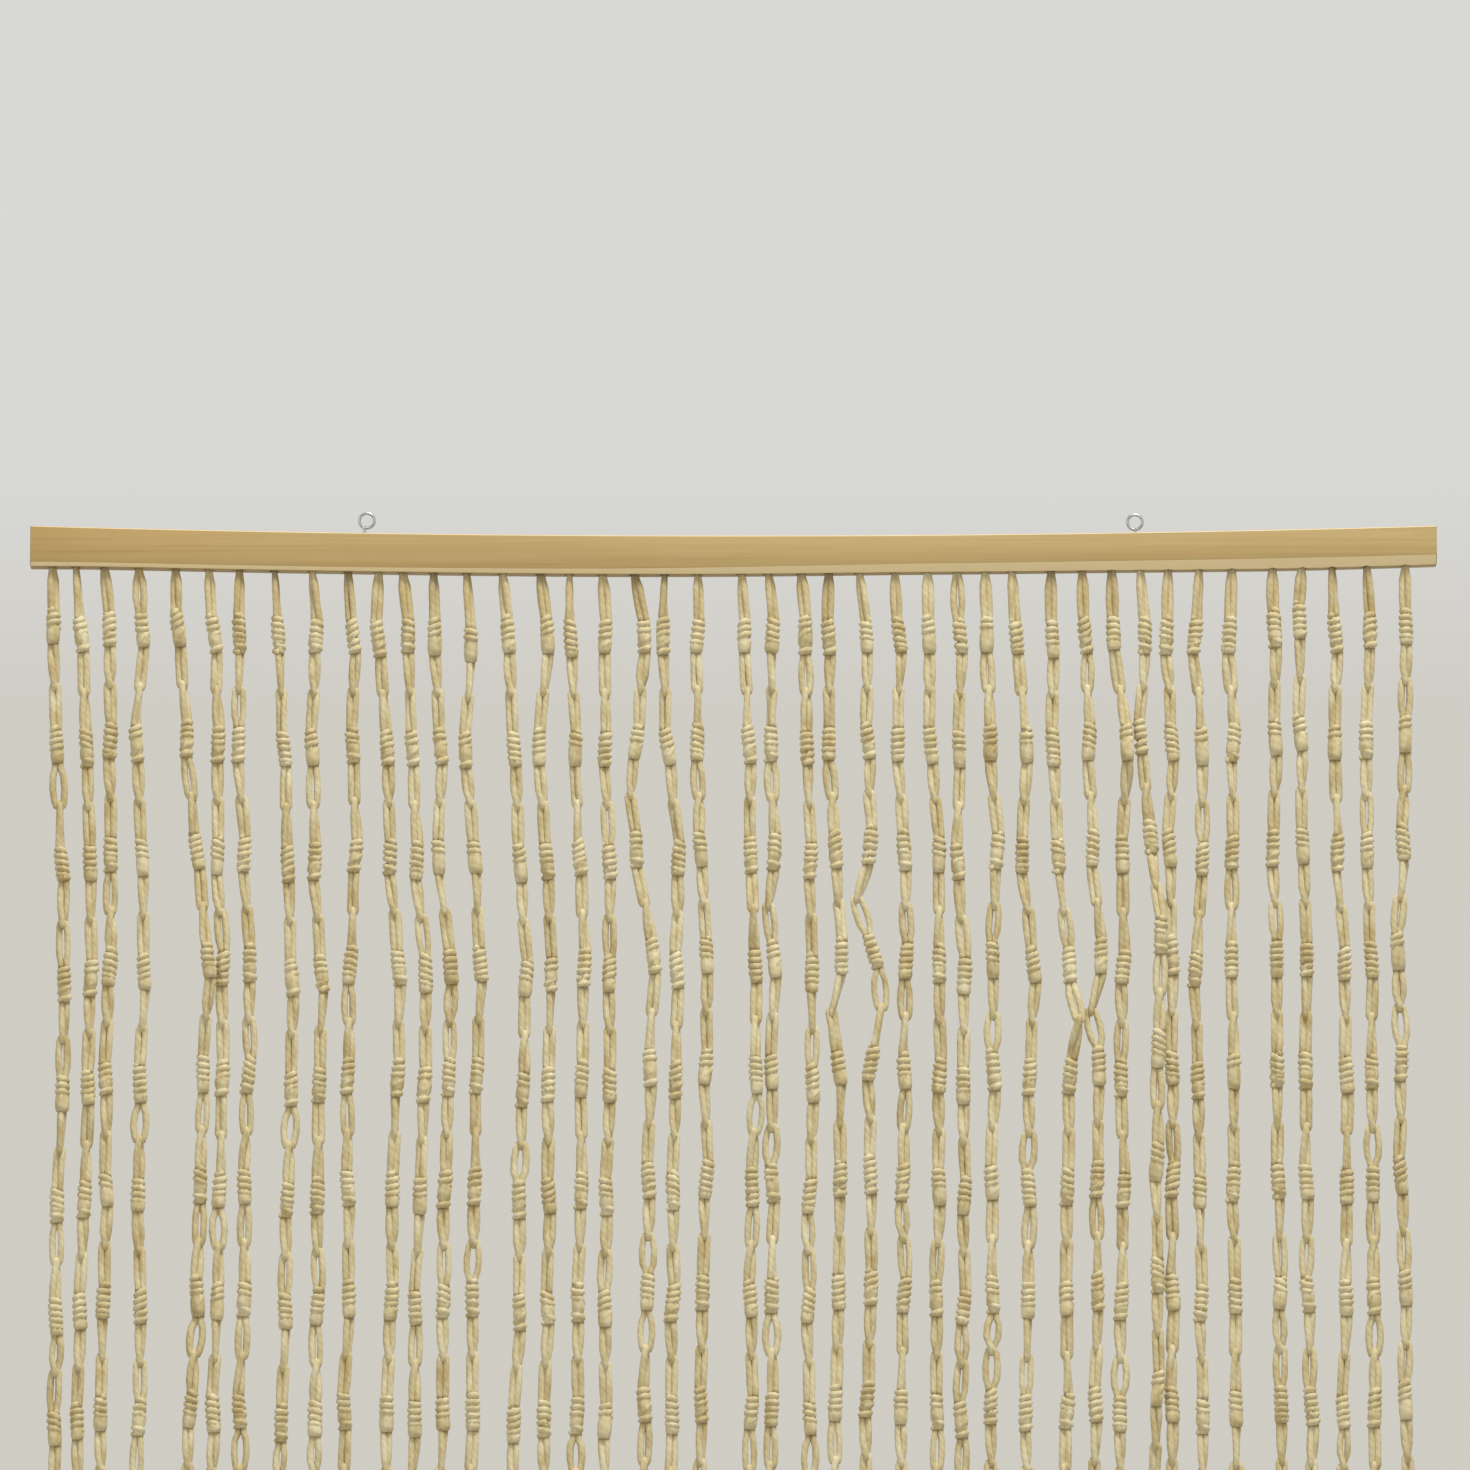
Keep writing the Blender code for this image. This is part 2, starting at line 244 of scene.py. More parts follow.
# One link of cord: two loops and a knot between them, wrapped above and smooth below
CORD_RADIUS = 0.00225
CORD_ROUNDING = 1
HEART_ROUNDING = 2
SEAM_GAP = 1e-6
PLUMPNESS = (0.95, 1.06)
THICKNESS = (0.94, 1.06)
KNOT_TILT = (-0.10, 0.10)
KNOT_HEIGHTS = (0.0225, 0.0255)
BULGE_RADIUS = 0.0045
HEART_RADIUS = 0.0036
LEGS_AT_KNOT = 0.0017
THROAT_DEPTH = 0.0024
# Painted shade in the bend of each lower loop, where the next loop hangs in it
BEND_SHADE = 0.7
# The least and most share of painted batten shadow on a strand's first loop, drawn for each strand
ROOT_SHADOW_SHARES = (0.35, 1.25)
JOIN_OVERLAP = 0.0015

# Wraps round the knot: how many there are, how they lie, and how loose and how lifted each one is, the last
# two in millimetres
WRAP_COUNTS = (2.2, 2.8, 3.1, 3.4, 3.8, 4.6)
WRAP_RADIUS = 0.00278
WRAP_PITCH = 0.0042
WRAP_SWELL = 1.0
WRAP_STEPS = 7
WRAP_DRAWS = 7
WRAP_SLANT = (0.0, 0.45)
WRAP_LOOSENESS = (-0.15, 0.2)
WRAP_LIFT = (-0.3, 0.3)

# Where the cord crosses the knot's smooth half: how far from the knot's middle line it starts and ends, and
# how much of half a turn it takes
CROSSING_START = 0.0019
CROSSING_RADII = (0.0020, 0.0029)
CROSSING_REACH = 0.85
CROSSING_STEPS = 4

# Some knots have a collar of cord round their smooth part's lower end, before the cord crosses it
COLLAR_TURNS = (0.0, 0.9, 1.2)
COLLAR_RISE = 0.0014
COLLAR_NEEDS = 0.0085
NO_COLLAR_RISE = 0.001

# Cut ends under a strand's last knot: the side and the drop of each, and how far they turn, in radians
TAIL_DROPS = ((1, 0.024), (-1, 0.020))
TAIL_FACING = 0.5

# How the cord is laid and toned: the length of one turn of its plies, and each link's own share in its tone
CORD_LAY = 0.0052
LINK_TONE_SHARE = 0.14

# Seeds of the random draws: for the places of all knots, and for each strand, with its number added
PLACES_SEED = 43
STRAND_SEED = 1000

# A point of a cord's or wire's line: its place, its thickness as a share of the cord's, and its painted
# shade where the cord comes out of a knot or lies in a bend, and painted shadow of the batten under its
# hole
Station = namedtuple("Station", "place swell shade", defaults=(0.0,))

# A loop: half its width, and how its legs are turned at its bend, its middle and its knot
Loop = namedtuple("Loop", "half_width at_bend at_middle at_knot")

# A link's own look: the turns of its wraps, the height of its smooth half, the turns of its collar, how far
# out the cord crosses, which way it winds, its slant, tilt and thickness, and its two loops
Look = namedtuple(
    "Look", "wraps bulge collar crossing hand slant slant_side tilt_x tilt_y thick upper lower",
)

# A knot's middle and ends, and its directions: up the link, to the right and towards the wall
Knot = namedtuple("Knot", "middle top low axis right back")

# Sockets of a Mix node that hold its factor, its two colours and the mixed colour
MIX_FACTOR = 0
MIX_FIRST = 6
MIX_SECOND = 7
MIX_RESULT = 2


def between(low, high, part):
    return low + (high - low) * part


def section_value(x, column):
    """One column of the batten's section table at a place along it, in metres."""
    place = x / MM
    places = [row.place for row in SECTIONS]
    right = min(max(bisect_right(places, place), 1), len(SECTIONS) - 1)
    low = SECTIONS[right - 1]
    high = SECTIONS[right]
    part = (place - low.place) / (high.place - low.place)
    return between(getattr(low, column), getattr(high, column), part) * MM


def batten_top(x):
    return MIDDLE_HEIGHT / 2 + BOW * (x / (BATTEN_LENGTH / 2)) ** 2


def batten_underside(x):
    return batten_top(x) - section_value(x, "height")


def knot_places(strand, chance):
    """Height and sideways place of each knot: as photographed at the top, then settling to hang plumb."""
    leans = [strand.lean_1, strand.lean_2, strand.lean_3, strand.lean_4]
    top = batten_underside(strand.root * MM) - strand.first * MM
    last_seen = top - (SEEN_KNOTS - 1) * strand.pitch * MM
    last = LAST_KNOT + chance.uniform(-UNEVEN_HEM, UNEVEN_HEM)
    places = []
    for knot in range(LINKS):
        if knot < SEEN_KNOTS:
            height = top - knot * strand.pitch * MM
            lean = leans[knot] * MM
        else:
            below = knot - SEEN_KNOTS + 1
            height = between(last_seen, last, below / (LINKS - SEEN_KNOTS))
            settled = min(below / SETTLING_LINKS, 1.0)
            lean = leans[-1] * MM * between(1.0, SETTLED_LEAN, settled) + chance.uniform(-WANDER, WANDER)
        places.append((strand.root * MM + lean, height))
    return places


def hanging_line(number, places):
    """A strand's knots and, between them, its joins, from top to bottom."""
    line = []
    for knot, ((x, z), (x_below, z_below)) in enumerate(zip(places, places[1:]), start=1):
        aside = KINKS.get((number, knot), 0.0) * MM
        line.append((x, z))
        line.append(((x + x_below) / 2 + aside, (z + z_below) / 2))
    line.append(places[-1])
    return line


def sideways_at(line, height):
    """Where a strand stands sideways at a height."""
    if height >= line[0][1]:
        return line[0][0]
    for (x_above, z_above), (x_below, z_below) in zip(line, line[1:]):
        if height >= z_below:
            return between(x_above, x_below, (z_above - height) / (z_above - z_below))
    return line[-1][0]


def forward_step(line, neighbour, height):
    """How far a strand hangs in front of the one to its right, where the two come close."""
    if neighbour is None:
        return 0.0
    apart = sideways_at(neighbour, height) - sideways_at(line, height)
    return math.sqrt(max(SIDE_CLEARANCE ** 2 - apart ** 2, 0.0))


# Selecting and finishing

def only(piece):
    """Deselects everything, then selects one object and makes it active."""
    bpy.ops.object.select_all(action="DESELECT")
    piece.select_set(True)
    bpy.context.view_layer.objects.active = piece


def named(name):
    piece = bpy.context.object
    piece.name = name
    piece.data.name = name
    return piece


def pick_edges(piece, wanted):
    """In edit mode: selects the edges whose two ends pass a test, and nothing else."""
    bpy.ops.mesh.select_all(action="DESELECT")
    bpy.ops.mesh.select_mode(type="EDGE")
    shape = bmesh.from_edit_mesh(piece.data)
    for edge in shape.edges:
        edge.select = wanted(edge.verts[0].co, edge.verts[1].co)
    bmesh.update_edit_mesh(piece.data)


def point_numbers(piece, wanted):
    """In edit mode: the numbers of the points that pass a test."""
    shape = bmesh.from_edit_mesh(piece.data)
    return {point.index for point in shape.verts if wanted(point.co)}


def move_points(piece, numbers, shift):
    """In edit mode: moves the points that have these numbers."""
    bpy.ops.mesh.select_all(action="DESELECT")
    bpy.ops.mesh.select_mode(type="VERT")
    shape = bmesh.from_edit_mesh(piece.data)
    for point in shape.verts:
        point.select = point.index in numbers
    shape.select_flush(True)
    bmesh.update_edit_mesh(piece.data)
    bpy.ops.transform.translate(value=shift)


def settle(piece):
    """Moves a finished piece's place, turn and size into its mesh."""
    only(piece)
    bpy.ops.object.transform_apply(location=True, rotation=True, scale=True)


def apply_modifier(piece, kind, **settings):
    only(piece)
    modifier = piece.modifiers.new(kind.lower(), kind)
    for setting, value in settings.items():
        setattr(modifier, setting, value)
    bpy.ops.object.modifier_apply(modifier=modifier.name)


def finish_with(piece, *finishes):
    """Gives a piece these finishes and no others."""
    piece.data.materials.clear()
    for finish in finishes:
        piece.data.materials.append(finish)


# Finishes

def new_finish(name, roughness, metallic=0.0):
    finish = bpy.data.materials.new(name)
    finish.use_nodes = True
    tree = finish.node_tree
    shader = tree.nodes["Principled BSDF"]
    shader.inputs["Roughness"].default_value = roughness
    shader.inputs["Metallic"].default_value = metallic
    return finish, tree, shader


def node(tree, kind, **settings):
    made = tree.nodes.new("ShaderNode" + kind)
    for setting, value in settings.items():
        setattr(made, setting, value)
    return made


def stretched_noise(tree, source, stretch, detail=4.0, roughness=0.55, distortion=0.0):
    """Noise on a coordinate that is scaled by the stretch."""
    place = node(tree, "Mapping")
    place.inputs["Scale"].default_value = stretch
    noise = node(tree, "TexNoise")
    noise.inputs["Scale"].default_value = 1.0
    noise.inputs["Detail"].default_value = detail
    noise.inputs["Roughness"].default_value = roughness
    noise.inputs["Distortion"].default_value = distortion
    tree.links.new(source, place.inputs["Vector"])
    tree.links.new(place.outputs["Vector"], noise.inputs["Vector"])
    return noise.outputs["Fac"]


def ramp(tree, source, stops):
    """Colours along a value; each stop is a position and a colour."""
    made = node(tree, "ValToRGB")
    elements = made.color_ramp.elements
    while len(elements) < len(stops):
        elements.new(0.5)
    for element, (position, color) in zip(elements, stops):
        element.position = position
        element.color = (*color, 1.0)
    tree.links.new(source, made.inputs["Fac"])
    return made.outputs["Color"]


def feed(tree, value, socket):
    """Puts a number, a colour or another node's result into a socket."""
    if isinstance(value, bpy.types.NodeSocket):
        tree.links.new(value, socket)
    elif isinstance(value, tuple):
        socket.default_value = (*value, 1.0)
    else:
        socket.default_value = value


def mixed(tree, factor, first, second, blend="MIX"):
    """Two colours mixed by a factor, which is a number or a socket."""
    made = node(tree, "Mix", data_type="RGBA", blend_type=blend)
    feed(tree, factor, made.inputs[MIX_FACTOR])
    feed(tree, first, made.inputs[MIX_FIRST])
    feed(tree, second, made.inputs[MIX_SECOND])
    return made.outputs[MIX_RESULT]


def spread(tree, source, low, high, to_low=0.0, to_high=1.0):
    """A value range mapped to another one."""
    made = node(tree, "MapRange")
    tree.links.new(source, made.inputs["Value"])
    for socket, value in zip(("From Min", "From Max", "To Min", "To Max"), (low, high, to_low, to_high)):
        made.inputs[socket].default_value = value
    return made.outputs["Result"]


def math_node(tree, operation, first, second):
    made = node(tree, "Math", operation=operation)
    feed(tree, first, made.inputs[0])
    feed(tree, second, made.inputs[1])
    return made.outputs[0]


def axes_of(tree, source):
    """A coordinate taken apart into its three numbers."""
    made = node(tree, "SeparateXYZ")
    tree.links.new(source, made.inputs["Vector"])
    return made.outputs


def bumped(tree, shader, height, strength, distance):
    bump = node(tree, "Bump")
    bump.inputs["Strength"].default_value = strength
    bump.inputs["Distance"].default_value = distance
    tree.links.new(height, bump.inputs["Height"])
    tree.links.new(bump.outputs["Normal"], shader.inputs["Normal"])


def pine_finish(name, painted_light):
    """Planed softwood: fine grain lines along the batten, a few resin lines and broad paler bands.

    The stretches are waves a metre along the batten, through it and up it. The left end is deeper in tone.
    Painted light is the share of a pale tint that paints light on the batten's edges, over paler planed
    wood.
    """
    finish, tree, shader = new_finish(name, 0.5)
    place = node(tree, "TexCoord").outputs["Object"]
    broad = stretched_noise(tree, place, (1.8, 60.0, 80.0), 3.0)
    warm = stretched_noise(tree, place, (5.0, 40.0, 160.0), 3.0, 0.6)
    lines = stretched_noise(tree, place, (3.0, 260.0, 420.0), 5.0, 0.6, 0.3)
    fine = stretched_noise(tree, place, (16.0, 900.0, 1800.0), 3.0, 0.6)
    ground = ramp(tree, broad, [
        (0.30, (0.440, 0.298, 0.105)),
        (0.52, (0.505, 0.360, 0.138)),
        (0.72, (0.550, 0.402, 0.168)),
    ])
    warmth = ramp(tree, warm, [(0.50, (0, 0, 0)), (0.75, (0.55, 0.55, 0.55))])
    color = mixed(tree, warmth, ground, (0.520, 0.315, 0.110))
    left_end = spread(tree, axes_of(tree, place)["X"], -0.43, -0.22, 0.55, 0.0)
    color = mixed(tree, left_end, color, (0.455, 0.285, 0.085))
    resin = ramp(tree, lines, [
        (0.32, (0.88, 0.81, 0.71)),
        (0.46, (1.0, 1.0, 1.0)),
        (0.80, (1.04, 1.04, 1.04)),
    ])
    color = mixed(tree, 0.6, color, resin, "MULTIPLY")
    pores = ramp(tree, fine, [(0.35, (0.92, 0.90, 0.86)), (0.55, (1.0, 1.0, 1.0))])
    color = mixed(tree, 0.8, color, pores, "MULTIPLY")
    color = mixed(tree, painted_light, color, PAINTED_LIGHT_TINT)
    tree.links.new(color, shader.inputs["Base Color"])
    tree.links.new(spread(tree, lines, 0.2, 0.8, 0.40, 0.62), shader.inputs["Roughness"])
    bumped(tree, shader, fine, 0.25, 0.0002)
    return finish


def zinc_finish():
    """Bright zinc plate on bent wire, with slightly duller patches."""
    finish, tree, shader = new_finish("zinc_wire", 0.3, 1.0)
    place = node(tree, "TexCoord").outputs["Object"]
    patches = stretched_noise(tree, place, (420.0, 420.0, 420.0), 3.0)
    plate = ramp(tree, patches, [(0.3, (0.50, 0.51, 0.52)), (0.7, (0.68, 0.69, 0.71))])
    tree.links.new(plate, shader.inputs["Base Color"])
    tree.links.new(spread(tree, patches, 0.2, 0.8, 0.22, 0.45), shader.inputs["Roughness"])
    bumped(tree, shader, patches, 0.15, 0.0001)
    return finish


def cord_finish():
    """Natural cord: two plies laid in a twist, fibres along it, and a tone of its own for each link.

    Painted shade darkens it brown where it leaves a knot or lies in a bend, and painted batten shadow below
    its hole.
    """
    finish, tree, shader = new_finish("natural_cord", 0.8)
    shader.inputs["Sheen Weight"].default_value = 0.15
    shader.inputs["Sheen Roughness"].default_value = 0.6
    laid = node(tree, "UVMap", uv_map="laid_cord").outputs["UV"]
    tone = node(tree, "Attribute", attribute_name="link_tone").outputs["Fac"]
    laid_axes = axes_of(tree, laid)
    along = math_node(tree, "MULTIPLY", laid_axes["X"], TURN / CORD_LAY)
    around = math_node(tree, "MULTIPLY", laid_axes["Y"], 2 * TURN)
    twist = math_node(tree, "SINE", math_node(tree, "ADD", along, around), 0.0)
    place = node(tree, "TexCoord").outputs["Object"]
    fibres = stretched_noise(tree, laid, (90.0, 14.0, 1.0), 4.0, 0.6)
    blotches = stretched_noise(tree, place, (150.0, 150.0, 70.0), 3.0)
    own_tone = math_node(tree, "MULTIPLY", tone, LINK_TONE_SHARE)
    shared_tone = math_node(tree, "MULTIPLY", blotches, 1 - LINK_TONE_SHARE)
    ground = ramp(tree, math_node(tree, "ADD", own_tone, shared_tone), [
        (0.30, (0.55, 0.425, 0.185)),
        (0.48, (0.685, 0.578, 0.318)),
        (0.68, (0.80, 0.715, 0.455)),
    ])
    streaks = ramp(tree, fibres, [(0.30, (0.80, 0.76, 0.68)), (0.60, (1.0, 1.0, 1.0))])
    color = mixed(tree, 0.7, ground, streaks, "MULTIPLY")
    # Painted shade in the grooves between the plies
    depth = spread(tree, twist, -1.0, 1.0)
    groove_shade = ramp(tree, depth, [(0.0, (0.80, 0.77, 0.70)), (0.45, (1.0, 1.0, 1.0))])
    color = mixed(tree, 0.35, color, groove_shade, "MULTIPLY")
    # Painted shade: dark brown at the throats and bends, and painted shadow of the batten, golden where it
    # is faint
    shade = node(tree, "Attribute", attribute_name="throat_shade").outputs["Fac"]
    shade_tint = ramp(tree, shade, [(0.45, (0.50, 0.335, 0.095)), (0.90, (0.17, 0.105, 0.03))])
    color = mixed(tree, math_node(tree, "MULTIPLY", shade, 0.66), color, shade_tint)
    tree.links.new(color, shader.inputs["Base Color"])
    height = math_node(tree, "ADD", math_node(tree, "MULTIPLY", twist, 0.3), fibres)
    bumped(tree, shader, height, 0.5, 0.0003)
    return finish


def plain_finish(name, color, roughness):
    finish, tree, shader = new_finish(name, roughness)
    shader.inputs["Base Color"].default_value = (*color, 1.0)
    return finish


# Batten

def shape_batten():
    """A bar that is divided along its length, bowed and planed off at its lower front edge."""
    bpy.ops.object.select_all(action="DESELECT")
    bpy.ops.mesh.primitive_cube_add(
        size=1.0, location=(0, -BATTEN_DEPTH / 2, 0), scale=(BATTEN_LENGTH, BATTEN_DEPTH, MIDDLE_HEIGHT),
    )
    batten = named("planed_batten")
    settle(batten)
    half = MIDDLE_HEIGHT / 2
    above_bottom = -half + SAME_PLACE
    below_top = half - SAME_PLACE
    front = -BATTEN_DEPTH + SAME_PLACE
    back = -SAME_PLACE
    bpy.ops.object.mode_set(mode="EDIT")
    pick_edges(batten, lambda a, b: abs(a.x - b.x) > BATTEN_LENGTH / 2)
    bpy.ops.mesh.subdivide(number_cuts=BATTEN_STEPS - 1)
    pick_edges(batten, lambda a, b: max(a.y, b.y) < front and max(a.z, b.z) < above_bottom)
    bpy.ops.mesh.bevel(offset=FIRST_EDGE, segments=1, affect="EDGES")
    for step in range(BATTEN_STEPS + 1):
        x = between(-BATTEN_LENGTH / 2, BATTEN_LENGTH / 2, step / BATTEN_STEPS)
        top = batten_top(x)
        bottom = batten_underside(x)
        edge = section_value(x, "edge")
        section = point_numbers(batten, lambda p: abs(p.x - x) < SAME_PLACE)
        upper = point_numbers(batten, lambda p: p.z > below_top)
        lower_back = point_numbers(batten, lambda p: p.z < above_bottom and p.y > back)
        lower_edge = point_numbers(batten, lambda p: p.z < above_bottom and p.y < back)
        upper_edge = point_numbers(batten, lambda p: above_bottom < p.z < below_top)
        move_points(batten, section & upper, (0, 0, top - half))
        move_points(batten, section & lower_back, (0, 0, bottom + half))
        move_points(batten, section & lower_edge, (0, edge * EDGE_DEPTH_RATIO - FIRST_EDGE, bottom + half))
        move_points(batten, section & upper_edge, (0, 0, bottom + edge + half - FIRST_EDGE))
    bpy.ops.object.mode_set(mode="OBJECT")
    apply_modifier(
        batten, "BEVEL", width=EDGE_ROUNDING, segments=2, limit_method="ANGLE", angle_limit=ROUNDED_ANGLE,
    )
    return batten


def drill_at(place, radius, depth, sides):
    """A round bar in the shape of a hole, with its middle at the hole's mouth."""
    bpy.ops.object.select_all(action="DESELECT")
    bpy.ops.mesh.primitive_cylinder_add(vertices=sides, radius=radius, depth=depth, location=place)
    return bpy.context.object


def drill_batten(batten):
    """Bores a blind hole for each strand in the underside and one for each screw eye in the top."""
    drills = []
    for strand in STRANDS:
        x = strand.root * MM
        mouth = (x, CORD_LINE, batten_underside(x))
        drills.append(drill_at(mouth, CORD_HOLE_RADIUS, 2 * CORD_HOLE_DEPTH, CORD_HOLE_SIDES))
    for name, place in EYE_PLACES.items():
        x = place + EYE_SHANK_SHIFT[name]
        mouth = (x, CORD_LINE, batten_top(x))
        depth = 2 * EYE_SHANK_DEPTH + EYE_HOLE_SPARE
        drills.append(drill_at(mouth, EYE_WIRE_RADIUS * EYE_HOLE_PLAY, depth, EYE_HOLE_SIDES))
    bpy.ops.object.select_all(action="DESELECT")
    for drill in drills:
        drill.select_set(True)
    bpy.context.view_layer.objects.active = drills[0]
    bpy.ops.object.join()
    cutter = named("drills")
    apply_modifier(batten, "BOOLEAN", operation="DIFFERENCE", solver="EXACT", object=cutter)
    bpy.data.objects.remove(cutter)


def gets_painted_light(face):
    """Whether a face gets painted light: the planed-off edge, brightened as if lit, or the top rounding, a
    painted highlight.
    """
    lengthwise = abs(face.normal.x) < 0.2
    planed_off = face.normal.y < -0.35 and face.normal.z < -0.35
    rounded_top = face.normal.y < -0.2 and 0.2 < face.normal.z < 0.6
    return lengthwise and (planed_off or rounded_top)


def build_batten(finish, lit_edge_finish):
    batten = shape_batten()
    drill_batten(batten)
    only(batten)
    bpy.ops.object.shade_smooth_by_angle(angle=SMOOTH_ANGLE)
    finish_with(batten, finish, lit_edge_finish)
    for face in batten.data.polygons:
        face.material_index = 1 if gets_painted_light(face) else 0
    settle(batten)
    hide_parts("batten")
    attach(batten, "root")


# Cords and wire

def cord_from(name, routes, radius, rounding):
    """Lays routes of stations as round lines and makes them one closed mesh.

    The rounding is how finely their section is divided. Each route has an empty finish slot, by which its
    faces keep its number. The numbers are returned too.
    """
    line = bpy.data.curves.new(name, "CURVE")
    line.dimensions = "3D"
    line.bevel_depth = radius
    line.bevel_resolution = rounding
    line.use_fill_caps = True
    for number, route in enumerate(routes):
        spline = line.splines.new("POLY")
        spline.points.add(len(route) - 1)
        for point, station in zip(spline.points, route):
            point.co = (*station.place, 1.0)
            point.radius = station.swell
        line.materials.append(None)
        spline.material_index = number
    piece = bpy.data.objects.new(name, line)
    bpy.context.collection.objects.link(piece)
    only(piece)
    bpy.ops.object.convert(target="MESH")
    piece = named(name)
    numbers = [face.material_index for face in piece.data.polygons]
    for face in piece.data.polygons:
        face.material_index = 0
    return piece, numbers


def lengths_along(route):
    total = 0.0
    lengths = [0.0]
    for near, far in zip(route, route[1:]):
        total += (far.place - near.place).length
        lengths.append(total)
    return lengths


def measure_cord(piece, numbers, routes, tones):
    """Gives a cord a map, in metres along it and turns around it, its painted shade, and each link its
    tone.
    """
    lengths = [lengths_along(route) for route in routes]
    piece.data.uv_layers[0].name = "laid_cord"
    piece.data.attributes.new("link_tone", "FLOAT", "FACE")
    piece.data.attributes.new("throat_shade", "FLOAT", "CORNER")
    layer = piece.data.uv_layers[0]
    tone = piece.data.attributes["link_tone"]
    shade = piece.data.attributes["throat_shade"]
    for face, number in zip(piece.data.polygons, numbers):
        along = lengths[number]
        last = len(along) - 1
        tone.data[face.index].value = tones[number]
        end_cap = len(face.loop_indices) == 3
        for corner in face.loop_indices:
            u, v = layer.data[corner].uv
            step = last if end_cap else min(round(u * last), last)
            layer.data[corner].uv = (along[step] + number, v)
            shade.data[corner].value = routes[number][step].shade


def close_seams(piece):
    only(piece)
    bpy.ops.object.mode_set(mode="EDIT")
    bpy.ops.mesh.select_all(action="SELECT")
    bpy.ops.mesh.remove_doubles(threshold=SEAM_GAP)
    bpy.ops.mesh.normals_make_consistent(inside=False)
    bpy.ops.object.mode_set(mode="OBJECT")
    bpy.ops.object.shade_smooth()


# Loops of a link

def sideways(angle):
    return Vector((math.cos(angle), math.sin(angle), 0.0))


def facings_at_join(above, below, chance):
    """How two loops turn where one hangs in the other: crosswise, and the wider one faces the viewer."""
    stray = chance.gauss(0, FACING_STRAY)
    if FROM_NARROW_TO_WIDE.index(above) > FROM_NARROW_TO_WIDE.index(below):
        return stray, stray + math.pi / 2
    return stray + math.pi / 2, stray


def form_loop(letter, at_bend, chance):
    """A loop of one form, which turns from its bend to its middle and on to its knot the short way."""
    form = FORMS[letter]
    side = 1 if at_bend > CROSSWISE_FROM else chance.choice((-1, 1))
    at_middle = math.radians(chance.uniform(*form.turns)) * side
    at_knot = at_middle * chance.uniform(*form.at_knot)
    return Loop(form.half_width * chance.uniform(*WIDTH_SHARES), at_bend, at_middle, at_knot)


def leg_stations(length, loop):
    """Down one leg of a loop from its bend, a row for each station.

    A row holds the distance from the bend, half the loop's width, its turn, and the cord's swell and
    painted shade.
    """
    bend = between(loop.half_width, 2.0 * MM, 0.5)
    turn_below_bend = between(loop.at_bend, loop.at_middle, 0.1)
    turn_at_middle = between(loop.at_bend, loop.at_middle, 0.8)
    closing = between(LEGS_AT_KNOT, loop.half_width, 0.8)
    turn_at_closing = between(loop.at_middle, loop.at_knot, 0.4)
    return [
        (bend * 0.30, bend * 0.76, loop.at_bend, 0.92, 0.0),
        (bend * 1.15, bend, turn_below_bend, 0.95, 0.0),
        (length * 0.42, loop.half_width, turn_at_middle, 1.0, 0.0),
        (length * 0.72, closing, turn_at_closing, 1.0, 0.0),
        (length - THROAT_DEPTH, LEGS_AT_KNOT, loop.at_knot, 0.97, 0.0),
        (length, LEGS_AT_KNOT, loop.at_knot, 0.9, 1.0),
    ]


def root_stations(length, loop):
    """The same for a strand's first loop, whose legs come out of the hole together and part lower down."""
    below_hole = between(0.7 * MM, loop.half_width, 0.16)
    parting = between(1.0 * MM, loop.half_width, 0.75)
    # The last column is painted shadow of the batten, darkest at the hole and fading downwards, then
    # painted shade where the cord goes into the knot
    return [
        (1.0 * MM, 0.8 * MM, loop.at_middle, 0.76, 1.0),
        (6.0 * MM, below_hole, loop.at_middle, 0.86, 0.80),
        (length * 0.38, parting, loop.at_middle, 1.0, 0.55),
        (length * 0.68, loop.half_width, loop.at_middle, 1.0, 0.42),
        (length - THROAT_DEPTH, LEGS_AT_KNOT, loop.at_knot, 0.97, 0.30),
        (length, LEGS_AT_KNOT, loop.at_knot, 0.9, 1.0),
    ]


def loop_route(knot_end, bend_place, loop, bend_shade, chance, stations=leg_stations):
    """One loop from the knot out along one leg, round the bend and back along the other."""
    away = bend_place - knot_end
    length = away.length
    inward = -away.normalized()
    # The first loop takes its own share of painted batten shadow
    root_shadow = chance.uniform(*ROOT_SHADOW_SHARES) if stations is root_stations else 1.0
    legs = []
    for side in (1, -1):
        leg = []
        for distance, half, turn, swell, dark in stations(length, loop):
            stray = LEG_STRAY if distance > STRAY_FROM else 0.0
            wobble = sideways(chance.uniform(0, TURN)) * stray * chance.random()
            place = bend_place + inward * distance + sideways(turn) * half * side + wobble
            plump = swell * chance.uniform(*PLUMPNESS)
            leg.append(Station(place, plump, min(dark * root_shadow, 1.0)))
        legs.append(leg)
    return list(reversed(legs[0])) + [Station(bend_place.copy(), 0.9, bend_shade)] + legs[1]


def tails_route(knot_end, chance):
    """The two cut ends under a strand's last knot, with painted shade where they come out of it."""
    ends = []
    for side, drop in TAIL_DROPS:
        facing = chance.uniform(-TAIL_FACING, TAIL_FACING)
        out = sideways(facing) * side
        ends.append([
            Station(knot_end + out * LEGS_AT_KNOT, 0.95, 1.0),
            Station(knot_end + out * LEGS_AT_KNOT + Vector((0, 0, -THROAT_DEPTH)), 0.97),
            Station(knot_end + out * 1.5 * MM + Vector((0, 0, -0.007)), 1.0),
            Station(knot_end + out * 1.8 * MM + Vector((0, 0, -0.014)), 1.0),
            Station(knot_end + out * 1.6 * MM + Vector((0, 0, -drop)), 1.05),
        ])
    return ends


# Knot of a link

